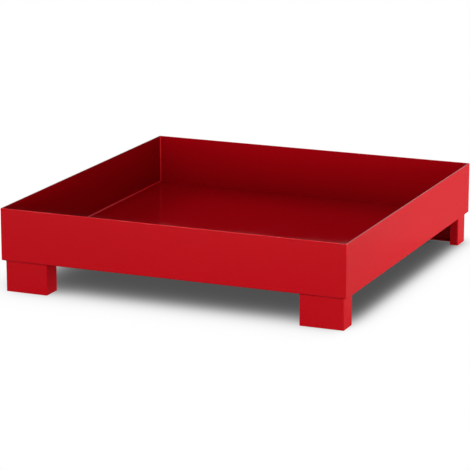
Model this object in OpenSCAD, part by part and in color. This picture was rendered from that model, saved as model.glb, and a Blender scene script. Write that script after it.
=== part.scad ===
// Low square sheet-steel collecting tray, open at the top, on four folded feet.
// Millimetres. The origin is the centre of the footprint on the ground,
// with +X to the right, +Y to the rear and +Z up.

/* [Tray] */
// Width of the tray over its two side walls
tray_width = 1210; // [800:10:1600]
// Depth of the tray over its front and rear walls
tray_depth = 1250; // [800:10:1600]
// Height of the walls from the underside of the floor to the rim
wall_height = 177; // [80:1:400]
// Thickness of the tray's steel sheet
sheet = 3; // [2:0.5:5]
// Inside radius of the folds between the floor and the end walls
fold_radius = 2; // [1:0.5:4]

/* [Feet] */
// Height of the feet, which is the clearance under the tray
foot_height = 106; // [60:1:200]
// Width of a foot, left to right
foot_width = 150; // [100:1:250]
// Depth of a foot, front to rear
foot_depth = 75; // [50:1:150]
// Distance from the tray's outer faces to the feet
foot_inset = 10; // [9:1:60]
// Width of the lips beside a foot's open side
lip_width = 30; // [12:1:45]
// Thickness of a foot's steel sheet
foot_sheet = 3; // [2:0.5:5]
// Inside radius of a foot's upright folds
foot_fold_radius = 1; // [1:0.5:3]
// Width of the flat bar across the bottom of a foot
sole_width = 30; // [15:1:40]
// Thickness of the flat bar across the bottom of a foot
sole_thickness = 5; // [3:1:10]

/* [Welds] */
// Leg of the fillet welds inside the tray
seam_leg = 4; // [2:0.5:8]
// Distance from the top of the corner welds to the rim
corner_weld_gap = 2; // [0:0.5:10]
// Leg of the fillet welds round the tops of the feet
foot_weld_leg = 4; // [2:0.5:5]
// Leg of the fillet welds between the sole bars and the feet
sole_weld_leg = 3; // [1.5:0.5:4]
// Length of sole bar left unwelded at each end
sole_weld_margin = 12; // [0:1:30]

/* [Hidden] */

// Names for the sides of the tray, used as signs along X and Y
LEFT = -1;
RIGHT = 1;
FRONT = -1;
REAR = 1;

// Sides given to a full circle
$fn = 64;

// Powder coat as it looks on the walls, and a deeper shade for the welds
coat_red = [0.73, 0.08, 0.11];
weld_red = [0.62, 0.05, 0.08];

// Room inside the walls
inner_width = tray_width - 2 * sheet;
inner_depth = tray_depth - 2 * sheet;
floor_top = foot_height + sheet;

// Outside radius of a foot's upright folds
foot_corner = foot_fold_radius + foot_sheet;
sole_length = foot_width - 2 * foot_corner;

// Length of floor that each corner weld covers, past the end of the fold
corner_reach = max(seam_leg, fold_radius);

// Cross-section of a fillet weld: a right-angled triangle with two equal legs
module bead_section(leg) {
    polygon([[0, 0], [leg, 0], [0, leg]]);
}

// Upright outline of a trough with round lower corners, centred on the first axis
module trough_section(length, height, radius) {
    translate([-length / 2, radius])
        square([length, height - radius]);
    translate([-length / 2 + radius, 0])
        square([length - 2 * radius, height]);
    for (side = [-1, 1])
        translate([side * (length / 2 - radius), radius])
            circle(radius);
}

// Flat outline of a rectangle with round corners, from its own corner
module rounded_rectangle(width, depth, radius) {
    translate([radius, 0])
        square([width - 2 * radius, depth]);
    translate([0, radius])
        square([width, depth - 2 * radius]);
    for (x = [radius, width - radius], y = [radius, depth - radius])
        translate([x, y])
            circle(radius);
}

// Stands an outline drawn in depth and height upright, and draws it out along X
module across_tray(length) {
    rotate([90, 0, 90])
        linear_extrude(length)
            children();
}

// Moves a piece drawn for the front left quarter to any quarter of the tray
module in_quarter(x_side, y_side) {
    mirror([x_side == RIGHT ? 1 : 0, 0, 0])
        mirror([0, y_side == REAR ? 1 : 0, 0])
            children();
}

// Puts a foot's own corner at its place under the front left of the tray
module at_foot() {
    translate([-tray_width / 2 + foot_inset, -tray_depth / 2 + foot_inset, 0])
        children();
}

// The space inside the tray, up to past the rim
module basin() {
    translate([-inner_width / 2, 0, floor_top])
        across_tray(inner_width)
            trough_section(inner_depth, wall_height, fold_radius);
}

// One sheet: the floor, with the front and rear walls folded up from it
module floor_pan() {
    color(coat_red)
        translate([-inner_width / 2, 0, foot_height])
            across_tray(inner_width)
                difference() {
                    trough_section(tray_depth, wall_height, fold_radius + sheet);
                    translate([0, sheet])
                        trough_section(inner_depth, wall_height, fold_radius);
                }
}

// Flat plate that closes one end of the folded sheet
module side_wall(x_side) {
    color(coat_red)
        in_quarter(x_side, FRONT)
            translate([-tray_width / 2, 0, foot_height])
                across_tray(sheet)
                    trough_section(tray_depth, wall_height, fold_radius + sheet);
}

// Fillet weld along the joint of the floor and a side wall
module floor_seam_weld(x_side) {
    run = inner_depth - 2 * corner_reach;
    color(weld_red)
        in_quarter(x_side, FRONT)
            translate([-inner_width / 2, run / 2, floor_top])
                rotate([90, 0, 0])
                    linear_extrude(run)
                        bead_section(seam_leg);
}

// Fillet weld up a corner of the tray, with its turn round the fold at the floor
module corner_weld(x_side, y_side) {
    color(weld_red)
        in_quarter(x_side, y_side)
            intersection() {
                translate([-inner_width / 2, -inner_depth / 2, floor_top])
                    union() {
                        linear_extrude(wall_height - sheet - corner_weld_gap)
                            bead_section(seam_leg);
                        translate([0, corner_reach, 0])
                            rotate([90, 0, 0])
                                linear_extrude(corner_reach)
                                    bead_section(seam_leg);
                    }
                basin();
            }
}

// Upright length of lipped channel: web outward, open side towards the middle of the tray
module foot_channel(x_side, y_side) {
    mouth_width = foot_width - 2 * lip_width;
    color(coat_red)
        in_quarter(x_side, y_side)
            at_foot()
                linear_extrude(foot_height)
                    difference() {
                        rounded_rectangle(foot_width, foot_depth, foot_corner);
                        translate([foot_sheet, foot_sheet])
                            rounded_rectangle(
                                foot_width - 2 * foot_sheet,
                                foot_depth - 2 * foot_sheet,
                                foot_fold_radius
                            );
                        translate([lip_width, foot_depth - 2 * foot_sheet])
                            square([mouth_width, 3 * foot_sheet]);
                    }
}

// Flat bar inside the bottom of a foot, lying against its web
module sole_bar(x_side, y_side) {
    color(coat_red)
        in_quarter(x_side, y_side)
            at_foot()
                translate([foot_corner, foot_sheet, 0])
                    cube([sole_length, sole_width, sole_thickness]);
}

// Fillet weld between the top of a sole bar and the web of its foot
module sole_weld(x_side, y_side) {
    color(weld_red)
        in_quarter(x_side, y_side)
            at_foot()
                translate([foot_corner + sole_weld_margin, foot_sheet, sole_thickness])
                    across_tray(sole_length - 2 * sole_weld_margin)
                        bead_section(sole_weld_leg);
}

// Straight run of the weld at the top of a foot, on one outer face
module foot_weld_run(length) {
    rotate([90, 0, 90])
        linear_extrude(length)
            mirror([0, 1])
                mirror([1, 0])
                    bead_section(foot_weld_leg);
}

// Turn of the weld round an upright fold of a foot
module foot_weld_turn() {
    rotate_extrude(angle = 90)
        translate([foot_corner, 0])
            mirror([0, 1])
                bead_section(foot_weld_leg);
}

// Fillet weld between the top of a foot and the underside of the tray, on three faces
module foot_weld(x_side, y_side) {
    side_run = foot_depth - 2 * foot_corner;
    color(weld_red)
        in_quarter(x_side, y_side)
            at_foot()
                translate([0, 0, foot_height]) {
                    translate([foot_corner, 0, 0])
                        foot_weld_run(sole_length);
                    translate([0, foot_corner + side_run, 0])
                        rotate([0, 0, -90])
                            foot_weld_run(side_run);
                    translate([foot_width, foot_corner, 0])
                        rotate([0, 0, 90])
                            foot_weld_run(side_run);
                    translate([foot_corner, foot_corner, 0])
                        rotate([0, 0, 180])
                            foot_weld_turn();
                    translate([foot_width - foot_corner, foot_corner, 0])
                        rotate([0, 0, 270])
                            foot_weld_turn();
                }
}

floor_pan();
side_wall(LEFT);  // left_wall
side_wall(RIGHT);  // right_wall
floor_seam_weld(LEFT);  // floor_seam_weld_left
floor_seam_weld(RIGHT);  // floor_seam_weld_right
corner_weld(LEFT, FRONT);  // corner_weld_front_left
corner_weld(RIGHT, FRONT);  // corner_weld_front_right
corner_weld(LEFT, REAR);  // corner_weld_rear_left
corner_weld(RIGHT, REAR);  // corner_weld_rear_right
foot_channel(LEFT, FRONT);  // foot_channel_front_left
foot_channel(RIGHT, FRONT);  // foot_channel_front_right
foot_channel(LEFT, REAR);  // foot_channel_rear_left
foot_channel(RIGHT, REAR);  // foot_channel_rear_right
sole_bar(LEFT, FRONT);  // sole_bar_front_left
sole_bar(RIGHT, FRONT);  // sole_bar_front_right
sole_bar(LEFT, REAR);  // sole_bar_rear_left
sole_bar(RIGHT, REAR);  // sole_bar_rear_right
sole_weld(LEFT, FRONT);  // sole_weld_front_left
sole_weld(RIGHT, FRONT);  // sole_weld_front_right
sole_weld(LEFT, REAR);  // sole_weld_rear_left
sole_weld(RIGHT, REAR);  // sole_weld_rear_right
foot_weld(LEFT, FRONT);  // foot_weld_front_left
foot_weld(RIGHT, FRONT);  // foot_weld_front_right
foot_weld(LEFT, REAR);  // foot_weld_rear_left
foot_weld(RIGHT, REAR);  // foot_weld_rear_right
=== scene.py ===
"""Looks of a low sheet-steel collecting tray on four channel feet.

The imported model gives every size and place. Each class below rebuilds one kind of piece as a
clean mesh with softened edges, dresses it in gloss powder coat and lets it stand for its plain
solid. Lengths are in metres, +Z is up and the front wall is at -Y.
"""

import logging
import math
from collections.abc import Callable, Iterable, Sequence
from dataclasses import dataclass
from enum import Enum

import bmesh
import bpy
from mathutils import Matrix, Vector


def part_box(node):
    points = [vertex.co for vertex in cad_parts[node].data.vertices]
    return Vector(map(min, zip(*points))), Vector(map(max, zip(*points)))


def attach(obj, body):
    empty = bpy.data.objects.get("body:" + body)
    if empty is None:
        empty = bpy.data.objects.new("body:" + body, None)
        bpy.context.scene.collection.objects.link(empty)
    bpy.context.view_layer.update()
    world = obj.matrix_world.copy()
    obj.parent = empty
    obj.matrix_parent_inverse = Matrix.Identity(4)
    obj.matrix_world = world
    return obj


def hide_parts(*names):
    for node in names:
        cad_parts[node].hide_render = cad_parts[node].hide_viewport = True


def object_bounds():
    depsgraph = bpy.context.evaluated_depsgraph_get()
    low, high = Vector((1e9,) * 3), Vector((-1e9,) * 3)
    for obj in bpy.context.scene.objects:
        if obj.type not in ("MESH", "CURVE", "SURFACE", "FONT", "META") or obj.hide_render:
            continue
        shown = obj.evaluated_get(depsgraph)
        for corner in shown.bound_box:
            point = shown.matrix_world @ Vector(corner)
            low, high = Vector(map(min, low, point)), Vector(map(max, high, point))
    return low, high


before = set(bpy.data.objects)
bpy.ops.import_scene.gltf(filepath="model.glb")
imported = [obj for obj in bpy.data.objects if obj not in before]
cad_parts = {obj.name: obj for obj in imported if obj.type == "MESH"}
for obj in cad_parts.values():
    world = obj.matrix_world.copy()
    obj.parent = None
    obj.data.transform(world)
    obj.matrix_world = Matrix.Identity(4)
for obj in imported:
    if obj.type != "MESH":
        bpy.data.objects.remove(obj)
CAD_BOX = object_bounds()

LOG = logging.getLogger("tray")
BODY = "root"
MM = 0.001

# Thickness of all the sheet, and the inside radius of its folds
SHEET = 3 * MM
TRAY_FOLD = 2 * MM
FOOT_FOLD = 1 * MM

# How finely folds and rounded edges are drawn, and the angle from which an edge counts as sharp
FOLD_STEPS = 8
ROUNDING_STEPS = 3
SHARP_ANGLE = math.radians(50)

# Vertex attribute that is 1 where the coat takes the lighter tint: a painted highlight on the rims
# and on the welds inside the tray
HIGHLIGHT_ATTRIBUTE = "thin_coat"

# Strength of the broad orange peel, where the fine peel has 1
BROAD_PEEL = 2.2
# Noise values at which the haze starts and is complete
HAZE_START = 0.36
HAZE_FULL = 0.72
# Shift between the sines of an uneven wave, in radians
WAVE_SHIFT = 1.7

Value = float | bpy.types.NodeSocket
Socket = tuple[str, str, str, float | tuple[float, ...]]
Pair = tuple[Vector, Vector]
Lines = tuple[list[Vector], list[Vector], list[Vector]]
Picker = Callable[[Vector, Vector], bool]


class Side(Enum):
    """Left or right, as a sign along X."""

    LEFT = -1
    RIGHT = 1


class End(Enum):
    """Front or rear, as a sign along Y."""

    FRONT = -1
    REAR = 1


class Tint(Enum):
    """Base colours of the coat, in linear light."""

    SHEET_RED = (0.44, 0.0016, 0.0062)
    # Darker red of the welds on the feet: painted shade under the walls' overhang and inside the
    # feet
    WELD_RED = (0.36, 0.0010, 0.0045)
    # Lighter red for the rims and the welds inside the tray: a painted highlight, not the coat's
    # own colour
    THIN_RED = (0.92, 0.0120, 0.0220)


# ---------------------------------------------------------------- shader groups


def new_group(name: str, sockets: Sequence[Socket]) -> bpy.types.NodeTree:
    """Makes an empty shader node group with its sockets.

    Args:
        name: name of the group.
        sockets: (name, "INPUT" or "OUTPUT", socket type, default value) of each socket.

    Returns:
        The group, with one input node and one output node in it.
    """
    group = bpy.data.node_groups.new(name, "ShaderNodeTree")
    for label, direction, kind, default in sockets:
        socket = group.interface.new_socket(label, in_out=direction, socket_type=kind)
        if direction == "INPUT":
            socket.default_value = default
    group.nodes.new("NodeGroupInput")
    group.nodes.new("NodeGroupOutput")
    return group


def ends_of(group: bpy.types.NodeTree) -> tuple[bpy.types.Node, bpy.types.Node]:
    """Finds the two ends of a group.

    Args:
        group: the group.

    Returns:
        Its input node and its output node.
    """
    source = next(n for n in group.nodes if n.type == "GROUP_INPUT")
    sink = next(n for n in group.nodes if n.type == "GROUP_OUTPUT")
    return source, sink


def noise_in(
    tree: bpy.types.NodeTree, scale: float, detail: float, roughness: float
) -> bpy.types.Node:
    """Adds a noise texture that reads the piece's own coordinates.

    Args:
        tree: node tree to add it to.
        scale: waves per metre.
        detail: octaves of finer noise.
        roughness: strength of the finer octaves.

    Returns:
        The noise node.
    """
    place = tree.nodes.new("ShaderNodeTexCoord")
    noise = tree.nodes.new("ShaderNodeTexNoise")
    noise.inputs["Scale"].default_value = scale
    noise.inputs["Detail"].default_value = detail
    noise.inputs["Roughness"].default_value = roughness
    tree.links.new(place.outputs["Object"], noise.inputs["Vector"])
    return noise


def math_in(
    tree: bpy.types.NodeTree, operation: str, first: Value, second: Value, third: Value = 0.0
) -> bpy.types.NodeSocket:
    """Adds a math node.

    Args:
        tree: node tree to add it to.
        operation: Blender's name of the operation.
        first: number or output socket.
        second: number or output socket.
        third: number or output socket, for the operations that use one.

    Returns:
        The node's output socket.
    """
    node = tree.nodes.new("ShaderNodeMath")
    node.operation = operation
    for slot, value in enumerate((first, second, third)):
        if isinstance(value, bpy.types.NodeSocket):
            tree.links.new(value, node.inputs[slot])
        else:
            node.inputs[slot].default_value = value
    return node.outputs["Value"]


def orange_peel_group() -> bpy.types.NodeTree:
    """Builds the fine and the broad unevenness of a baked powder coat, as a height in metres.

    Returns:
        A group with the input Depth and the output Height.
    """
    group = new_group(
        "orange_peel",
        [("Depth", "INPUT", "NodeSocketFloat", 1.0), ("Height", "OUTPUT", "NodeSocketFloat", 0.0)],
    )
    source, sink = ends_of(group)
    fine = noise_in(group, scale=420.0, detail=1.0, roughness=0.4)
    broad = noise_in(group, scale=90.0, detail=1.0, roughness=0.3)
    mixed = math_in(group, "MULTIPLY_ADD", broad.outputs["Fac"], BROAD_PEEL, fine.outputs["Fac"])
    height = math_in(group, "MULTIPLY", mixed, source.outputs["Depth"])
    group.links.new(height, sink.inputs["Height"])
    return group


def handling_group() -> bpy.types.NodeTree:
    """Builds the faint haze that wiping and stacking leave on gloss paint.

    Returns:
        A group with the inputs Clean and Hazy, and the output Roughness between them.
    """
    group = new_group(
        "handling_haze",
        [
            ("Clean", "INPUT", "NodeSocketFloat", 0.1),
            ("Hazy", "INPUT", "NodeSocketFloat", 0.2),
            ("Roughness", "OUTPUT", "NodeSocketFloat", 0.0),
        ],
    )
    source, sink = ends_of(group)
    clouds = noise_in(group, scale=4.5, detail=5.0, roughness=0.62)
    spread = group.nodes.new("ShaderNodeMapRange")
    spread.interpolation_type = "SMOOTHSTEP"
    spread.inputs["From Min"].default_value = HAZE_START
    spread.inputs["From Max"].default_value = HAZE_FULL
    group.links.new(clouds.outputs["Fac"], spread.inputs["Value"])
    group.links.new(source.outputs["Clean"], spread.inputs["To Min"])
    group.links.new(source.outputs["Hazy"], spread.inputs["To Max"])
    group.links.new(spread.outputs["Result"], sink.inputs["Roughness"])
    return group


def coat_colour_group() -> bpy.types.NodeTree:
    """Builds the coat's colour: the lighter tint of a painted highlight where the vertices are
    marked, and slightly uneven elsewhere.

    Returns:
        A group with the inputs Coat, the painted highlight tint and Unevenness, and the output
        Colour.
    """
    group = new_group(
        "coat_colour",
        [
            ("Coat", "INPUT", "NodeSocketColor", (0.6, 0.0, 0.0, 1.0)),
            ("Thin", "INPUT", "NodeSocketColor", (0.6, 0.0, 0.0, 1.0)),
            ("Unevenness", "INPUT", "NodeSocketFloat", 0.03),
            ("Colour", "OUTPUT", "NodeSocketColor", (0.0, 0.0, 0.0, 1.0)),
        ],
    )
    source, sink = ends_of(group)
    clouds = noise_in(group, scale=3.0, detail=3.0, roughness=0.5)
    centred = math_in(group, "SUBTRACT", clouds.outputs["Fac"], 0.5)
    value = math_in(group, "MULTIPLY_ADD", centred, source.outputs["Unevenness"], 1.0)
    shade = group.nodes.new("ShaderNodeHueSaturation")
    group.links.new(value, shade.inputs["Value"])
    group.links.new(source.outputs["Coat"], shade.inputs["Color"])
    # Marked vertices turn to the lighter tint: a painted highlight
    edge = group.nodes.new("ShaderNodeAttribute")
    edge.attribute_name = HIGHLIGHT_ATTRIBUTE
    blend = group.nodes.new("ShaderNodeMix")
    blend.data_type = "RGBA"
    group.links.new(edge.outputs["Fac"], blend.inputs["Factor"])
    group.links.new(shade.outputs["Color"], blend.inputs["A"])
    group.links.new(source.outputs["Thin"], blend.inputs["B"])
    group.links.new(blend.outputs["Result"], sink.inputs["Colour"])
    return group


@dataclass(frozen=True)
class ShaderGroups:
    """The node groups that all the coats share."""

    peel: bpy.types.NodeTree
    haze: bpy.types.NodeTree
    colour: bpy.types.NodeTree

    @classmethod
    def build(cls) -> "ShaderGroups":
        """Builds each group once."""
        return cls(orange_peel_group(), handling_group(), coat_colour_group())


# ---------------------------------------------------------------- finishes


@dataclass(frozen=True)
class PowderCoat:
    """Gloss powder coat on steel: one thick, even, slightly rippled layer."""

    name: str
    slot: str
    tint: Tint
    clean: float = 0.04
    hazy: float = 0.08
    peel_depth: float = 0.0035 * MM
    unevenness: float = 0.05
    gloss_index: float = 1.47
    # Lighter tint of the painted highlight on the marked rims and welds
    thin: Tint = Tint.THIN_RED

    def material(self, groups: ShaderGroups) -> bpy.types.Material:
        """Builds the material.

        Args:
            groups: the shared node groups.

        Returns:
            The finished material.
        """
        material = bpy.data.materials.new(self.name)
        material.use_nodes = True
        tree = material.node_tree
        surface = tree.nodes["Principled BSDF"]
        surface.inputs["IOR"].default_value = self.gloss_index

        colour = self.add_group(tree, groups.colour)
        colour.inputs["Coat"].default_value = (*self.tint.value, 1.0)
        colour.inputs["Thin"].default_value = (*self.thin.value, 1.0)
        colour.inputs["Unevenness"].default_value = self.unevenness
        tree.links.new(colour.outputs["Colour"], surface.inputs["Base Color"])

        haze = self.add_group(tree, groups.haze)
        haze.inputs["Clean"].default_value = self.clean
        haze.inputs["Hazy"].default_value = self.hazy
        tree.links.new(haze.outputs["Roughness"], surface.inputs["Roughness"])

        peel = self.add_group(tree, groups.peel)
        peel.inputs["Depth"].default_value = self.peel_depth
        bump = tree.nodes.new("ShaderNodeBump")
        bump.inputs["Strength"].default_value = 1.0
        bump.inputs["Distance"].default_value = 1.0
        tree.links.new(peel.outputs["Height"], bump.inputs["Height"])
        tree.links.new(bump.outputs["Normal"], surface.inputs["Normal"])
        return material

    @staticmethod
    def add_group(tree: bpy.types.NodeTree, group: bpy.types.NodeTree) -> bpy.types.Node:
        """Places a node group in a material's tree.

        Args:
            tree: the material's tree.
            group: the group to place.

        Returns:
            The group's node.
        """
        node = tree.nodes.new("ShaderNodeGroup")
        node.node_tree = group
        return node


@dataclass(frozen=True)
class Coats:
    """The materials of the tray, with their slots in the record."""

    sheet: bpy.types.Material
    weld: bpy.types.Material
    sheet_slot: str
    weld_slot: str

    @classmethod
    def build(cls) -> "Coats":
        """Builds both coats from the shared groups.

        Returns:
            The coats.
        """
        groups = ShaderGroups.build()
        sheet = PowderCoat("powder_coat_on_sheet", "red_powder_coat", Tint.SHEET_RED)
        # The weld coat's darker tint shows only on the feet's welds, as painted shade; the welds
        # inside the tray take the highlight tint
        weld = PowderCoat(
            "powder_coat_on_weld",
            "coated_weld",
            Tint.WELD_RED,
            clean=0.34,
            hazy=0.44,
            peel_depth=0.006 * MM,
            unevenness=0.10,
        )
        return cls(sheet.material(groups), weld.material(groups), sheet.slot, weld.slot)


# ---------------------------------------------------------------- mesh work


def mesh_piece(
    name: str, points: Sequence[Vector], faces: Sequence[Sequence[int]]
) -> bpy.types.Object:
    """Makes an object from points and faces, with its faces turned outward.

    Args:
        name: name of the piece.
        points: corners, in the row frame.
        faces: corner numbers of each face.

    Returns:
        The new object, linked to the scene.
    """
    mesh = bpy.data.meshes.new(name)
    mesh.from_pydata([tuple(p) for p in points], [], [tuple(f) for f in faces])
    work = bmesh.new()
    work.from_mesh(mesh)
    bmesh.ops.recalc_face_normals(work, faces=work.faces)
    work.to_mesh(mesh)
    work.free()
    piece = bpy.data.objects.new(name, mesh)
    bpy.context.scene.collection.objects.link(piece)
    return piece


def soften_edges(
    piece: bpy.types.Object, radius: float, chosen: Picker, highlight_share: float = 0.0
) -> None:
    """Rounds a piece's sharp edges, and marks how much of the lighter tint the rounding takes as a
    painted highlight.

    Args:
        piece: object to change.
        radius: radius of the rounding.
        chosen: says, from an edge's two ends, whether the edge is rounded.
        highlight_share: 0 for the coat's own colour on the rounding, 1 for the lighter tint of a
            painted highlight.
    """
    work = bmesh.new()
    work.from_mesh(piece.data)
    layers = work.verts.layers.float
    layer = layers.get(HIGHLIGHT_ATTRIBUTE) or layers.new(HIGHLIGHT_ATTRIBUTE)
    sharp = [
        e
        for e in work.edges
        if len(e.link_faces) == 2
        and e.calc_face_angle() > SHARP_ANGLE
        and chosen(e.verts[0].co, e.verts[1].co)
    ]
    made = bmesh.ops.bevel(
        work,
        geom=sharp,
        offset=radius,
        offset_type="OFFSET",
        segments=ROUNDING_STEPS,
        profile=0.5,
        affect="EDGES",
        clamp_overlap=True,
    )
    # The narrow faces of the rounding take the given share of the painted highlight
    for vertex in made["verts"]:
        widths = [min(e.calc_length() for e in face.edges) for face in vertex.link_faces]
        if max(widths) < 2 * radius:
            vertex[layer] = highlight_share
    work.to_mesh(piece.data)
    work.free()


def paint_highlight_all_over(piece: bpy.types.Object, highlight_share: float) -> None:
    """Marks how much of the lighter tint a whole piece takes as a painted highlight, from 0 for
    none to 1 for all of it.
    """
    layer = piece.data.attributes.new(HIGHLIGHT_ATTRIBUTE, "FLOAT", "POINT")
    layer.data.foreach_set("value", [highlight_share] * len(piece.data.vertices))


def shade_evenly(piece: bpy.types.Object) -> None:
    """Shades folds and roundings smooth and keeps the flat faces flat.

    Args:
        piece: object to change.
    """
    piece.data.shade_smooth()
    piece.data.set_sharp_from_angle(angle=SHARP_ANGLE)
    even = piece.modifiers.new("even_shading", "WEIGHTED_NORMAL")
    even.keep_sharp = True


def spaced(start: float, stop: float, count: int) -> list[float]:
    """Returns count + 1 evenly spaced values from start to stop."""
    return [start + (stop - start) * i / count for i in range(count + 1)]


def outer_first(low: float, high: float, way: Side | End) -> tuple[float, float]:
    """Orders two places beside a side or an end of the tray: the outer one, then the inner."""
    return (low, high) if way.value < 0 else (high, low)


def fold_pairs(
    centre: Vector, inner: float, outer: float, start: float, stop: float
) -> list[Pair]:
    """Outer and inner points of a sheet round a fold.

    Args:
        centre: middle of the fold, in the plane of the section.
        inner: inside radius.
        outer: outside radius.
        start: angle at which the fold starts, in degrees.
        stop: angle at which it ends, in degrees.

    Returns:
        (outer point, inner point) at each step.
    """
    pairs = []
    for degrees in spaced(start, stop, FOLD_STEPS):
        way = Vector((math.cos(math.radians(degrees)), math.sin(math.radians(degrees))))
        pairs.append((centre + way * outer, centre + way * inner))
    return pairs


def flat_pairs(first: Pair, last: Pair, count: int) -> list[Pair]:
    """Points of a sheet between two stations of its section, without the stations themselves."""
    shares = spaced(0, 1, count)[1:-1]
    return [(first[0].lerp(last[0], t), first[1].lerp(last[1], t)) for t in shares]


def sheet_shell(
    name: str,
    pairs: Sequence[Pair],
    places: Sequence[float],
    set_out: Callable[[Vector, float], Vector],
) -> bpy.types.Object:
    """Makes a folded sheet as a closed shell of quads.

    Args:
        name: name of the piece.
        pairs: the section, as (outer point, inner point) along the sheet.
        places: distances along the direction in which the section is drawn out.
        set_out: puts a section point at a distance into the row frame.

    Returns:
        The new object.
    """
    count = len(pairs)
    points = [set_out(p, d) for d in places for pair in pairs for p in pair]

    def at(row: int, station: int, inner: int) -> int:
        """Number of a point, from its row, its station and 0 for outer or 1 for inner."""
        return (row * count + station) * 2 + inner

    faces = []
    for row in range(len(places) - 1):
        for station in range(count - 1):
            for inner in (0, 1):
                faces.append(
                    (
                        at(row, station, inner),
                        at(row, station + 1, inner),
                        at(row + 1, station + 1, inner),
                        at(row + 1, station, inner),
                    )
                )
        for station in (0, count - 1):
            faces.append(
                (
                    at(row, station, 0),
                    at(row, station, 1),
                    at(row + 1, station, 1),
                    at(row + 1, station, 0),
                )
            )
    for row in (0, len(places) - 1):
        for station in range(count - 1):
            faces.append(
                (
                    at(row, station, 0),
                    at(row, station + 1, 0),
                    at(row, station + 1, 1),
                    at(row, station, 1),
                )
            )
    return mesh_piece(name, points, faces)


def wave(distance: float, *lengths: float) -> float:
    """A smooth, uneven value between -1 and 1.

    Args:
        distance: place along the weld.
        lengths: wavelengths that are mixed.

    Returns:
        The mean of one sine for each wavelength.
    """
    sines = [math.sin(math.tau * distance / w + WAVE_SHIFT * i) for i, w in enumerate(lengths)]
    return sum(sines) / len(lengths)


# ---------------------------------------------------------------- pieces


@dataclass
class Piece:
    """One piece of the tray, which stands for the solid of the same name."""

    node: str
    coats: Coats

    def corners(self) -> Pair:
        """Lowest and highest corner of the piece's solid."""
        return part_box(self.node)

    def shape(self) -> bpy.types.Object:
        """Builds the mesh. Each kind of piece has its own."""
        raise NotImplementedError

    def finish(self) -> tuple[bpy.types.Material, str]:
        """The piece's material, and its slot in the record."""
        return self.coats.sheet, self.coats.sheet_slot

    def make(self) -> bpy.types.Object:
        """Builds and dresses the piece, and puts it in place of its solid.

        Returns:
            The finished object.
        """
        piece = self.shape()
        shade_evenly(piece)
        material, slot = self.finish()
        piece.data.materials.append(material)
        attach(piece, BODY)
        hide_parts(self.node)
        LOG.info("%s: %d faces", piece.name, len(piece.data.polygons))
        return piece


@dataclass
class FloorPan(Piece):
    """The floor, with the front and rear walls folded up from it.

    `across`, `along` and `up` count the faces of its grid.
    """

    rim_radius: float = 1.1 * MM
    sag: float = 0.25 * MM
    wall_bow: float = 0.3 * MM
    across: int = 24
    along: int = 24
    up: int = 4

    def section(self) -> list[Pair]:
        """Draws the folded sheet's section.

        Returns:
            Outer and inner points, from the front rim under the floor to the rear rim.
        """
        low, high = self.corners()
        outer = TRAY_FOLD + SHEET
        front_rim = (Vector((low.y, high.z)), Vector((low.y + SHEET, high.z)))
        rear_rim = (Vector((high.y, high.z)), Vector((high.y - SHEET, high.z)))
        front_fold = fold_pairs(Vector((low.y + outer, low.z + outer)), TRAY_FOLD, outer, 180, 270)
        rear_fold = fold_pairs(Vector((high.y - outer, low.z + outer)), TRAY_FOLD, outer, 270, 360)
        return [
            front_rim,
            *flat_pairs(front_rim, front_fold[0], self.up),
            *front_fold,
            *flat_pairs(front_fold[-1], rear_fold[0], self.along),
            *rear_fold,
            *flat_pairs(rear_fold[-1], rear_rim, self.up),
            rear_rim,
        ]

    def set_out(self, point: Vector, across: float) -> Vector:
        """Puts a section point at a place across the tray, on a sheet that isn't quite flat.

        Args:
            point: depth and height in the section.
            across: place along X.

        Returns:
            The point in the row frame.
        """
        low, high = self.corners()
        middle = math.cos(math.pi * across / (high.x - low.x))
        half_depth = high.y - SHEET
        depth_share = math.cos(math.pi / 2 * min(1.0, abs(point.x) / half_depth))
        rise = (point.y - low.z) / (high.z - low.z)
        inward = -math.copysign(self.wall_bow * rise * rise * middle, point.x)
        return Vector((across, point.x + inward, point.y - self.sag * middle * depth_share))

    def shape(self) -> bpy.types.Object:
        """Builds the folded sheet, rounds its two rims and marks their rounding for the painted
        highlight.

        Returns:
            The sheet.
        """
        low, high = self.corners()
        places = spaced(low.x, high.x, self.across)
        piece = sheet_shell(self.node + "_sheet", self.section(), places, self.set_out)
        rim = high.z - SHEET / 2

        def at_rim(a: Vector, b: Vector) -> bool:
            """True for an edge along the rim of either wall."""
            return min(a.z, b.z) > rim and abs(a.y - b.y) < SHEET / 2

        # The rims' rounding takes the lighter tint: a painted highlight
        soften_edges(piece, self.rim_radius, at_rim, highlight_share=1.0)
        return piece


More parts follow.
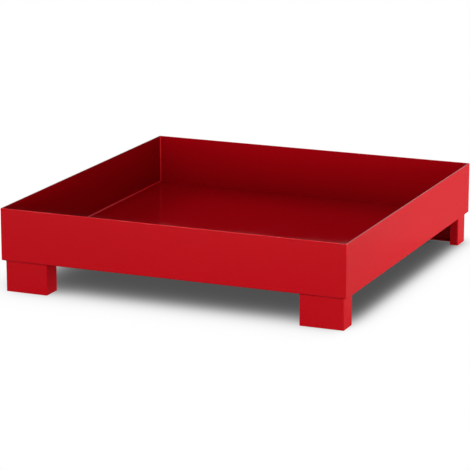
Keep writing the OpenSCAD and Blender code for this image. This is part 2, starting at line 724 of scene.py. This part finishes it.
@dataclass
class SideWall(Piece):
    """A flat plate that closes one side of the folded sheet.

    `along` and `up` count the faces of its grid.
    """

    side: Side = Side.LEFT
    edge_radius: float = 0.5 * MM
    rim_radius: float = 1.1 * MM
    bow: float = 0.3 * MM
    along: int = 26
    up: int = 4

    def columns(self) -> list[Pair]:
        """Divides the plate into columns.

        Returns:
            (top, bottom) of the plate's outline at places from front to rear.
        """
        low, high = self.corners()
        radius = TRAY_FOLD + SHEET
        turns = spaced(0, 90, FOLD_STEPS)
        reach = [radius * (1 - math.cos(math.radians(t))) for t in turns]
        rise = [radius * (1 - math.sin(math.radians(t))) for t in turns]
        flat = spaced(low.y + radius, high.y - radius, self.along)[1:-1]
        places = [low.y + r for r in reach] + flat + [high.y - r for r in reversed(reach)]
        lifts = rise + [0.0] * len(flat) + list(reversed(rise))
        return [(Vector((y, high.z)), Vector((y, low.z + lift))) for y, lift in zip(places, lifts)]

    def shape(self) -> bpy.types.Object:
        """Builds the plate and rounds every edge that doesn't lie in a joint. The rim's rounding is
        marked for the painted highlight.

        Returns:
            The plate.
        """
        low, high = self.corners()
        columns = self.columns()
        half_depth = high.y
        faces_out, faces_in = outer_first(low.x, high.x, self.side)

        def point(column: Pair, share: float, x: float) -> Vector:
            """Finds a point of the plate.

            Args:
                column: top and bottom of the plate there.
                share: share of the height, 0 at the rim.
                x: place of the face it lies on, before the plate bows.

            Returns:
                The point in the row frame.
            """
            place = column[0].lerp(column[1], share)
            rise = (place.y - low.z) / (high.z - low.z)
            middle = math.cos(math.pi / 2 * place.x / half_depth)
            return Vector((x - self.side.value * self.bow * rise * rise * middle, place.x, place.y))

        rows = self.up + 1
        shares = spaced(0, 1, self.up)
        points = [point(c, s, x) for x in (faces_out, faces_in) for c in columns for s in shares]
        count = len(columns)

        def at(face: int, column: int, row: int) -> int:
            """Number of a point, from its face, column and row."""
            return (face * count + column) * rows + row

        faces = [
            (at(f, c, r), at(f, c + 1, r), at(f, c + 1, r + 1), at(f, c, r + 1))
            for f in (0, 1)
            for c in range(count - 1)
            for r in range(self.up)
        ]
        for row in (0, self.up):
            faces += [
                (at(0, c, row), at(0, c + 1, row), at(1, c + 1, row), at(1, c, row))
                for c in range(count - 1)
            ]
        for column in (0, count - 1):
            faces += [
                (at(0, column, r), at(0, column, r + 1), at(1, column, r + 1), at(1, column, r))
                for r in range(self.up)
            ]
        piece = mesh_piece(self.node + "_plate", points, faces)
        rim = high.z - SHEET / 2
        joint = faces_in + self.side.value * SHEET / 2

        def at_rim(a: Vector, b: Vector) -> bool:
            """True for an edge of the rim."""
            return min(a.z, b.z) > rim

        def outside(a: Vector, b: Vector) -> bool:
            """True for an edge of the outer face below the rim, which isn't part of a joint."""
            inside = max(a.x * self.side.value, b.x * self.side.value) < joint * self.side.value
            return min(a.z, b.z) < rim and not inside

        # The rim's rounding takes the lighter tint: a painted highlight
        soften_edges(piece, self.rim_radius, at_rim, highlight_share=1.0)
        soften_edges(piece, self.edge_radius, outside)
        return piece


@dataclass
class FootChannel(Piece):
    """An upright length of lipped channel, with its web outward.

    `up` counts the faces from the ground to the floor pan.
    """

    side: Side = Side.LEFT
    end: End = End.FRONT
    lip: float = 30 * MM
    edge_radius: float = 0.4 * MM
    up: int = 6

    def section(self) -> list[Pair]:
        """Draws the channel in plan, for a front left foot.

        Returns:
            Outer and inner points from lip to lip.
        """
        low, high = self.corners()
        width, depth = high.x - low.x, high.y - low.y
        inner, outer = FOOT_FOLD, FOOT_FOLD + SHEET
        turns = [
            (Vector((outer, depth - outer)), 90, 180),
            (Vector((outer, outer)), 180, 270),
            (Vector((width - outer, outer)), 270, 360),
            (Vector((width - outer, depth - outer)), 0, 90),
        ]
        lip_start = (Vector((self.lip, depth)), Vector((self.lip, depth - SHEET)))
        lip_end = (Vector((width - self.lip, depth)), Vector((width - self.lip, depth - SHEET)))
        pairs = [lip_start]
        for centre, start, stop in turns:
            pairs += fold_pairs(centre, inner, outer, start, stop)
        return [*pairs, lip_end]

    def shape(self) -> bpy.types.Object:
        """Builds the channel and rounds its cut edges, except under the floor.

        Returns:
            The channel.
        """
        low, high = self.corners()
        outer_x, _ = outer_first(low.x, high.x, self.side)
        outer_y, _ = outer_first(low.y, high.y, self.end)

        def set_out(point: Vector, height: float) -> Vector:
            """Puts a plan point at a height into this foot's own quarter.

            Args:
                point: the point in plan, from the foot's outer corner.
                height: height above the ground.

            Returns:
                The point in the row frame.
            """
            x = outer_x - self.side.value * point.x
            y = outer_y - self.end.value * point.y
            return Vector((x, y, height))

        heights = spaced(low.z, high.z, self.up)
        piece = sheet_shell(self.node + "_fold", self.section(), heights, set_out)
        top = high.z - SHEET / 2
        soften_edges(piece, self.edge_radius, lambda a, b: min(a.z, b.z) < top)
        return piece


@dataclass
class SoleBar(Piece):
    """A short length of rolled flat bar, cut square at its ends.

    `along` and `across` count the faces of its grid.
    """

    rolled_radius: float = 0.9 * MM
    along: int = 10
    across: int = 4

    def shape(self) -> bpy.types.Object:
        """Builds the bar from stations along its length and rounds its edges.

        Returns:
            The bar.
        """
        low, high = self.corners()
        lines = spaced(low.y, high.y, self.across)
        pairs = [(Vector((y, low.z)), Vector((y, high.z))) for y in lines]
        places = spaced(low.x, high.x, self.along)
        piece = sheet_shell(
            self.node + "_flat", pairs, places, lambda p, x: Vector((x, p.x, p.y))
        )
        soften_edges(piece, self.rolled_radius, lambda a, b: True)
        return piece


@dataclass
class WeldBead(Piece):
    """A fillet weld, laid in overlapping ripples between two lines of contact.

    The bead bites into the steel at its root, and by `toe_bite` of that at its toes. Its width
    wanders in `wander_waves`. Its ripples come unevenly, by `unsteadiness` of a ripple in
    `pace_waves`, and trail by `trail` of a ripple towards the toes. Each end swells up over
    `end_run`, of which the first `end_stub` is cut off. `across` counts the faces across it.
    """

    ripple: float = 2.3 * MM
    ripple_height: float = 0.22 * MM
    ripple_power: float = 0.8
    trail: float = 0.55
    unsteadiness: float = 0.35
    pace_waves: tuple[float, ...] = (0.021, 0.034)
    crown: float = 0.45 * MM
    bite: float = 0.25 * MM
    toe_bite: float = 0.5
    wander: float = 0.25 * MM
    wander_waves: tuple[float, ...] = (0.047, 0.083, 0.19)
    steps_a_ripple: int = 6
    across: int = 8
    end_run: float = 3.5 * MM
    end_stub: float = 0.4 * MM
    # Share of the lighter tint over the whole bead: 1 gives a painted highlight along it
    highlight_share: float = 0.0

    def finish(self) -> tuple[bpy.types.Material, str]:
        """A weld has the coat of a weld."""
        return self.coats.weld, self.coats.weld_slot

    def lines(self) -> Lines:
        """The root of the joint and its two toe lines, with the same number of points."""
        raise NotImplementedError

    def shape(self) -> bpy.types.Object:
        """Draws the bead's section along the joint, with ripples, a crown and rounded ends.

        Returns:
            The bead.
        """
        lines = self.lines()
        root = lines[0]
        reach = [0.0]
        for a, b in zip(root, root[1:]):
            reach.append(reach[-1] + (b - a).length)
        total = reach[-1]
        stations = round(total / (self.ripple / self.steps_a_ripple))
        ring = self.across + 2
        points: list[Vector] = []
        for place in spaced(0.0, total, stations):
            points += self.section_at(place, reach, lines)
        faces = [
            (
                s * ring + i,
                s * ring + (i + 1) % ring,
                (s + 1) * ring + (i + 1) % ring,
                (s + 1) * ring + i,
            )
            for s in range(stations)
            for i in range(ring)
        ]
        faces.append(tuple(range(ring)))
        faces.append(tuple(stations * ring + i for i in range(ring)))
        bead = mesh_piece(self.node + "_bead", points, faces)
        paint_highlight_all_over(bead, self.highlight_share)
        return bead

    def section_at(self, place: float, reach: Sequence[float], lines: Lines) -> list[Vector]:
        """Points round the bead at one place.

        Args:
            place: distance along the root.
            reach: distance of each root point from the start.
            lines: the root and the two toe lines.

        Returns:
            The points across the face of the bead, and then the buried root.
        """
        after = next((i for i, r in enumerate(reach) if r >= place), len(reach) - 1)
        before = max(0, after - 1)
        gap = reach[after] - reach[before]
        share = 0.0 if gap <= 0 else (place - reach[before]) / gap
        base, *toes = [line[before].lerp(line[after], share) for line in lines]
        out = ((toes[0] + toes[1]) / 2 - base).normalized()
        leg = (toes[0] - base).length
        size = 1.0 + self.wander * wave(place, *self.wander_waves) / leg
        ending = min(1.0, (min(place, reach[-1] - place) + self.end_stub) / self.end_run)
        size *= math.sin(math.pi / 2 * ending) ** 0.5
        toes = [base + (t - base) * size for t in toes]
        beat = place / self.ripple + self.unsteadiness * wave(place, *self.pace_waves)
        row = []
        for u in spaced(0, 1, self.across):
            hump = math.sin(math.pi * u)
            bowed = beat - self.trail * (1 - hump)
            lump = abs(math.sin(math.pi * bowed)) ** self.ripple_power
            lift = (self.crown + self.ripple_height * (lump - 1)) * hump * size
            sunk = self.bite * (1 - hump) * self.toe_bite
            row.append(toes[0].lerp(toes[1], u) + out * (lift - sunk))
        row.append(base - out * self.bite)
        return row


@dataclass
class FloorSeam(WeldBead):
    """The long bead between the floor and a side wall."""

    side: Side = Side.LEFT
    # The whole bead takes the lighter tint: a painted highlight along the joint
    highlight_share: float = 1.0

    def lines(self) -> Lines:
        """Draws straight lines along the joint.

        Returns:
            The root, the toe on the wall and the toe on the floor.
        """
        low, high = self.corners()
        at_wall, at_floor = outer_first(low.x, high.x, self.side)
        ends = (low.y, high.y)
        return (
            [Vector((at_wall, y, low.z)) for y in ends],
            [Vector((at_wall, y, high.z)) for y in ends],
            [Vector((at_floor, y, low.z)) for y in ends],
        )


@dataclass
class CornerBead(WeldBead):
    """The bead up a corner of the tray, which turns at the bottom and runs onto the floor.

    `turn_height` and `widening` are in legs of the bead: how high above the floor it starts its
    turn, and how much wider it grows in the turn.
    """

    side: Side = Side.LEFT
    end: End = End.FRONT
    turn_height: float = 2.5
    widening: float = 1.5
    turn_steps: int = 10
    onto_floor: float = 2.5 * MM
    # The whole bead takes the lighter tint: a painted highlight up the corner
    highlight_share: float = 1.0

    def lines(self) -> Lines:
        """Draws lines down the corner, round the fold and a little way along the floor.

        Returns:
            The root, the toe on the plate and the toe on the folded sheet.
        """
        low, high = self.corners()
        leg = high.x - low.x
        at_plate, at_sheet = outer_first(low.x, high.x, self.side)
        wall, _ = outer_first(low.y, high.y, self.end)
        inward = -self.end.value
        root: list[Vector] = []
        plate_toe: list[Vector] = []
        sheet_toe: list[Vector] = []

        def add(y: float, z: float, toe_y: float, toe_z: float) -> None:
            """Adds one station.

            Args:
                y: place of the root and of the toe on the folded sheet, along Y.
                z: height of the same two.
                toe_y: place of the toe on the plate, along Y.
                toe_z: height of the toe on the plate.
            """
            root.append(Vector((at_plate, y, z)))
            plate_toe.append(Vector((at_plate, toe_y, toe_z)))
            sheet_toe.append(Vector((at_sheet, y, z)))

        turn_start = low.z + self.turn_height * leg
        wide = self.widening * leg
        add(wall, high.z, wall + inward * leg, high.z)
        add(wall, turn_start, wall + inward * leg, turn_start)
        for turn in spaced(0, 90, self.turn_steps):
            onward = 1 - math.cos(math.radians(turn))
            upward = 1 - math.sin(math.radians(turn))
            y = wall + inward * TRAY_FOLD * onward
            z = low.z + TRAY_FOLD * upward
            toe_y = wall + inward * (leg + wide * onward)
            toe_z = low.z + leg + wide * upward
            add(y, z, toe_y, toe_z)
        stop = wall + inward * (leg + wide + self.onto_floor)
        add(stop, low.z, stop, low.z + leg)
        return root, plate_toe, sheet_toe


@dataclass
class FootBead(WeldBead):
    """The bead round the three outer faces of a foot, under the floor."""

    # This bead keeps the darker weld tint: painted shade under the wall's overhang
    side: Side = Side.LEFT
    end: End = End.FRONT

    def lines(self) -> Lines:
        """Draws lines round the top of the foot, from one lip to the other.

        Returns:
            The root, the toe on the foot and the toe under the floor.
        """
        low, high = self.corners()
        leg = high.z - low.z
        radius = FOOT_FOLD + SHEET
        left, right = low.x + leg, high.x - leg
        outer_toe, back = outer_first(low.y, high.y, self.end)
        inward = -self.end.value
        web = outer_toe + inward * leg
        outline: list[tuple[float, float, float, float]] = [(left, back, -1.0, 0.0)]
        for side, face, start, stop in ((Side.LEFT, left, 0, 90), (Side.RIGHT, right, 90, 0)):
            for turn in spaced(start, stop, FOLD_STEPS):
                x_share = math.cos(math.radians(turn))
                y_share = math.sin(math.radians(turn))
                x = face - side.value * radius * (1 - x_share)
                y = web + inward * radius * (1 - y_share)
                outline.append((x, y, side.value * x_share, -y_share))
        outline.append((right, back, 1.0, 0.0))
        root = [Vector((x, y, high.z)) for x, y, _, _ in outline]
        foot_toe = [Vector((x, y, low.z)) for x, y, _, _ in outline]
        floor_toe = [
            Vector((x + x_way * leg, y + inward * y_way * leg, high.z))
            for x, y, x_way, y_way in outline
        ]
        return root, foot_toe, floor_toe


@dataclass
class SoleBead(WeldBead):
    """The bead between a sole bar and the web of its foot."""

    # This bead keeps the darker weld tint: painted shade inside the foot
    end: End = End.FRONT
    crown: float = 0.3 * MM

    def lines(self) -> Lines:
        """Draws straight lines along the top of the bar.

        Returns:
            The root, the toe on the web and the toe on the bar.
        """
        low, high = self.corners()
        at_web, on_bar = outer_first(low.y, high.y, self.end)
        ends = (low.x, high.x)
        return (
            [Vector((x, at_web, low.z)) for x in ends],
            [Vector((x, at_web, high.z)) for x in ends],
            [Vector((x, on_bar, low.z)) for x in ends],
        )


# ---------------------------------------------------------------- assemblies


@dataclass
class Tray:
    """The folded sheet, its two side plates and the welds inside it."""

    coats: Coats

    def build(self) -> list[bpy.types.Object]:
        """Builds every piece of the tray.

        Returns:
            The finished pieces.
        """
        parts: list[Piece] = [FloorPan("floor_pan", self.coats)]
        for side in Side:
            which = side.name.lower()
            parts.append(SideWall(f"{which}_wall", self.coats, side=side))
            parts.append(FloorSeam(f"floor_seam_weld_{which}", self.coats, side=side))
            for end in End:
                node = f"corner_weld_{end.name.lower()}_{which}"
                parts.append(CornerBead(node, self.coats, side=side, end=end))
        return [part.make() for part in parts]


@dataclass
class Foot:
    """One foot: its channel, its sole bar and their welds."""

    coats: Coats
    side: Side
    end: End

    def build(self) -> list[bpy.types.Object]:
        """Builds every piece of the foot.

        Returns:
            The finished pieces.
        """
        place = f"{self.end.name.lower()}_{self.side.name.lower()}"
        parts: list[Piece] = [
            FootChannel(f"foot_channel_{place}", self.coats, side=self.side, end=self.end),
            SoleBar(f"sole_bar_{place}", self.coats),
            SoleBead(f"sole_weld_{place}", self.coats, end=self.end),
            FootBead(f"foot_weld_{place}", self.coats, side=self.side, end=self.end),
        ]
        return [part.make() for part in parts]


# ---------------------------------------------------------------- studio


@dataclass(frozen=True)
class SoftLight:
    """A softbox: a rectangle of even light, aimed at a point.

    A box that isn't `mirrored` lights the coat and leaves no image of itself in its gloss.
    """

    name: str
    place: tuple[float, float, float]
    aim: tuple[float, float, float]
    width: float
    height: float
    watts: float
    mirrored: bool = True

    def build(self) -> bpy.types.Object:
        """Adds the light to the scene.

        Returns:
            The light.
        """
        lamp = bpy.data.lights.new(self.name, "AREA")
        lamp.shape = "RECTANGLE"
        lamp.size = self.width
        lamp.size_y = self.height
        lamp.energy = self.watts
        light = bpy.data.objects.new(self.name, lamp)
        light.location = self.place
        way = Vector(self.aim) - Vector(self.place)
        light.rotation_euler = way.to_track_quat("-Z", "Y").to_euler()
        light.visible_camera = False
        light.visible_glossy = self.mirrored
        bpy.context.scene.collection.objects.link(light)
        return light


@dataclass(frozen=True)
class ShadowEdge:
    """One soft edge of the shadow on the studio floor.

    The shadow is half as deep at `start`, which is measured inward from the tray's own edge.
    `softness` is the distance over which it changes most.
    """

    beside: Side | End
    start: float
    softness: float

    def cover(self, tree: bpy.types.NodeTree, place: bpy.types.Node) -> bpy.types.NodeSocket:
        """Adds the nodes that say how far a point lies inside this edge.

        Args:
            tree: node tree of the floor's paint.
            place: node that splits the floor's coordinates.

        Returns:
            A value from 0 outside to 1 inside.
        """
        low, high = CAD_BOX
        axis = "X" if isinstance(self.beside, Side) else "Y"
        edge = (high.x - low.x) / 2 if axis == "X" else (high.y - low.y) / 2
        limit = (edge - self.start) / (2 * self.softness)
        slope = -self.beside.value / (2 * self.softness)
        depth = math_in(tree, "MULTIPLY_ADD", place.outputs[axis], slope, limit)
        turned = math_in(tree, "TANH", depth, 0.0)
        return math_in(tree, "MULTIPLY_ADD", turned, 0.5, 0.5)


@dataclass(frozen=True)
class StudioFloor:
    """A plain pale floor: bright to the eye, with a soft shadow, and dull in the tray's gloss.

    What the tray gets back from it changes from `grey_in_front` to `grey_at_right` between the
    two places along X in `grey_change`. The lighter grey at the right is painted light for the
    right wall.
    """

    half_size: float = 40.0
    grey_in_front: float = 0.17
    grey_at_right: float = 0.29
    grey_change: tuple[float, float] = (0.35, 0.75)
    shadow_depth: float = 0.68
    contact_depth: float = 0.30
    contact_reach: float = 90 * MM
    contact_samples: int = 8
    display_gamma: float = 2.25
    shadow: tuple[ShadowEdge, ...] = (
        ShadowEdge(End.FRONT, start=78 * MM, softness=42 * MM),
        ShadowEdge(Side.RIGHT, start=18 * MM, softness=18 * MM),
        ShadowEdge(End.REAR, start=16 * MM, softness=24 * MM),
        ShadowEdge(Side.LEFT, start=20 * MM, softness=35 * MM),
    )

    def build(self) -> bpy.types.Object:
        """Builds the floor.

        Returns:
            The floor.
        """
        reach = self.half_size
        signs = ((-1, -1), (1, -1), (1, 1), (-1, 1))
        corners = [(x * reach, y * reach, 0.0) for x, y in signs]
        mesh = bpy.data.meshes.new("studio_floor")
        mesh.from_pydata(corners, [], [(0, 1, 2, 3)])
        mesh.materials.append(self.material())
        floor = bpy.data.objects.new("studio_floor", mesh)
        bpy.context.scene.collection.objects.link(floor)
        return floor

    def brightness(self, tree: bpy.types.NodeTree, place: bpy.types.Node) -> bpy.types.NodeSocket:
        """Adds the nodes of the floor's brightness to the eye: pale, and darker under the tray.

        Args:
            tree: node tree of the floor's paint.
            place: node that splits the floor's coordinates.

        Returns:
            The brightness, from 0 to 1.
        """
        cover: Value = 1.0
        for edge in self.shadow:
            cover = math_in(tree, "MULTIPLY", cover, edge.cover(tree, place))
        nearby = tree.nodes.new("ShaderNodeAmbientOcclusion")
        nearby.samples = self.contact_samples
        nearby.inputs["Distance"].default_value = self.contact_reach
        near = math_in(
            tree,
            "MULTIPLY_ADD",
            nearby.outputs["AO"],
            -self.contact_depth,
            self.shadow_depth + self.contact_depth,
        )
        shade = math_in(tree, "MULTIPLY", cover, near)
        value = math_in(tree, "SUBTRACT", 1.0, shade)
        return math_in(tree, "POWER", value, self.display_gamma)

    def returned_grey(
        self, tree: bpy.types.NodeTree, place: bpy.types.Node
    ) -> bpy.types.NodeSocket:
        """Adds the nodes of the grey that the floor gives back to the tray.

        Args:
            tree: node tree of the floor's paint.
            place: node that splits the floor's coordinates.

        Returns:
            The grey, lighter at the right of the tray: painted light for the right wall.
        """
        grey = tree.nodes.new("ShaderNodeMapRange")
        grey.interpolation_type = "SMOOTHSTEP"
        grey.inputs["From Min"].default_value = self.grey_change[0]
        grey.inputs["From Max"].default_value = self.grey_change[1]
        grey.inputs["To Min"].default_value = self.grey_in_front
        grey.inputs["To Max"].default_value = self.grey_at_right
        tree.links.new(place.outputs["X"], grey.inputs["Value"])
        return grey.outputs["Result"]

    def material(self) -> bpy.types.Material:
        """Builds the floor's paint. From below, the floor isn't seen.

        Returns:
            The finished material.
        """
        material = bpy.data.materials.new("studio_floor_paint")
        material.use_nodes = True
        tree = material.node_tree
        tree.nodes.remove(tree.nodes["Principled BSDF"])
        where = tree.nodes.new("ShaderNodeTexCoord")
        place = tree.nodes.new("ShaderNodeSeparateXYZ")
        tree.links.new(where.outputs["Object"], place.inputs["Vector"])

        seen = tree.nodes.new("ShaderNodeEmission")
        tree.links.new(self.brightness(tree, place), seen.inputs["Strength"])
        returned = tree.nodes.new("ShaderNodeBsdfDiffuse")
        tree.links.new(self.returned_grey(tree, place), returned.inputs["Color"])
        path = tree.nodes.new("ShaderNodeLightPath")
        paint = tree.nodes.new("ShaderNodeMixShader")
        tree.links.new(path.outputs["Is Camera Ray"], paint.inputs["Fac"])
        tree.links.new(returned.outputs["BSDF"], paint.inputs[1])
        tree.links.new(seen.outputs["Emission"], paint.inputs[2])

        side = tree.nodes.new("ShaderNodeNewGeometry")
        clear = tree.nodes.new("ShaderNodeBsdfTransparent")
        whole = tree.nodes.new("ShaderNodeMixShader")
        tree.links.new(side.outputs["Backfacing"], whole.inputs["Fac"])
        tree.links.new(paint.outputs["Shader"], whole.inputs[1])
        tree.links.new(clear.outputs["BSDF"], whole.inputs[2])
        tree.links.new(whole.outputs["Shader"], tree.nodes["Material Output"].inputs["Surface"])
        return material


@dataclass(frozen=True)
class StudioCamera:
    """A long lens eight metres away, which looks down at the tray from its front right.

    Angles are in degrees, and `lens` and `sensor` are in millimetres.
    """

    place: tuple[float, float, float] = (3.1047, -7.3997, 2.1499)
    turned_left: float = 22.99
    dipped: float = 14.289
    lens: float = 184.77
    sensor: float = 36.0
    farthest: float = 200.0

    def build(self) -> bpy.types.Object:
        """Adds the camera and makes it the scene's own.

        Returns:
            The camera.
        """
        data = bpy.data.cameras.new("studio_camera")
        data.lens = self.lens
        data.sensor_width = self.sensor
        data.clip_end = self.farthest
        camera = bpy.data.objects.new("studio_camera", data)
        camera.location = self.place
        tilt = math.radians(90 - self.dipped)
        camera.rotation_euler = (tilt, 0.0, math.radians(self.turned_left))
        bpy.context.scene.collection.objects.link(camera)
        bpy.context.scene.camera = camera
        return camera


@dataclass(frozen=True)
class Studio:
    """Floor, surroundings, lights and camera."""

    dim_surroundings: float = 0.01
    seen_surroundings: float = 1.0

    def lights(self) -> Iterable[SoftLight]:
        """Lists the softboxes: broad ones over and round the tray, and strips for its outer walls.

        Returns:
            Each softbox in turn.
        """
        yield SoftLight(
            "overhead_box",
            place=(0.0, 0.0, 3.6),
            aim=(0.0, 0.0, 0.0),
            width=3.5,
            height=3.5,
            watts=31.0,
            mirrored=False,
        )
        yield SoftLight(
            "rear_high_box",
            place=(0.0, 3.6, 2.9),
            aim=(0.0, 0.0, 0.1),
            width=8.0,
            height=1.6,
            watts=34.0,
            mirrored=False,
        )
        yield SoftLight(
            "rear_low_box",
            place=(0.0, 4.0, 0.95),
            aim=(0.0, 0.0, 0.95),
            width=12.0,
            height=1.9,
            watts=54.0,
        )
        yield SoftLight(
            "rear_left_box",
            place=(-3.45, 2.07, 2.3),
            aim=(0.0, 0.0, 0.1),
            width=2.0,
            height=1.6,
            watts=61.0,
            mirrored=False,
        )
        yield SoftLight(
            "front_high_box",
            place=(0.2, -3.2, 2.8),
            aim=(0.0, 0.0, 0.1),
            width=3.4,
            height=1.6,
            watts=15.0,
            mirrored=False,
        )
        yield SoftLight(
            "front_low_box",
            place=(-0.2, -3.0, 0.9),
            aim=(-0.2, 0.6, 0.25),
            width=2.4,
            height=0.4,
            watts=23.5,
            mirrored=False,
        )
        yield SoftLight(
            "front_strip",
            place=(0.4, -2.8, 0.43),
            aim=(0.4, 0.0, 0.25),
            width=4.0,
            height=0.3,
            watts=41.5,
        )
        yield SoftLight(
            "front_left_strip",
            place=(-1.9, -2.1, 0.3),
            aim=(0.0, 0.0, 0.2),
            width=1.4,
            height=0.5,
            watts=4.0,
        )
        yield SoftLight(
            "right_front_strip",
            place=(2.4, -0.6, 0.15),
            aim=(0.0, -0.6, 0.15),
            width=1.6,
            height=0.28,
            watts=27.0,
        )
        yield SoftLight(
            "right_rear_strip",
            place=(2.4, 0.9, 0.15),
            aim=(0.0, 0.9, 0.15),
            width=1.6,
            height=0.28,
            watts=48.0,
        )

    def surroundings(self) -> None:
        """Sets the world: white to the eye, dim to the tray."""
        world = bpy.data.worlds.new("studio_surroundings")
        world.use_nodes = True
        tree = world.node_tree
        background = tree.nodes["Background"]
        path = tree.nodes.new("ShaderNodeLightPath")
        strength = math_in(
            tree,
            "MULTIPLY_ADD",
            path.outputs["Is Camera Ray"],
            self.seen_surroundings - self.dim_surroundings,
            self.dim_surroundings,
        )
        background.inputs["Color"].default_value = (1.0, 1.0, 1.0, 1.0)
        tree.links.new(strength, background.inputs["Strength"])
        bpy.context.scene.world = world

    def build(self) -> None:
        """Sets up the whole studio."""
        bpy.context.scene.view_settings.view_transform = "Standard"
        StudioFloor().build()
        self.surroundings()
        for light in self.lights():
            light.build()
        StudioCamera().build()


def main() -> None:
    """Builds the tray, its feet and the studio."""
    logging.basicConfig(level=logging.INFO, format="%(name)s: %(message)s")
    coats = Coats.build()
    pieces = Tray(coats).build()
    for end in End:
        for side in Side:
            pieces += Foot(coats, side, end).build()
    LOG.info("%d pieces", len(pieces))
    Studio().build()


if __name__ == "__main__":
    main()
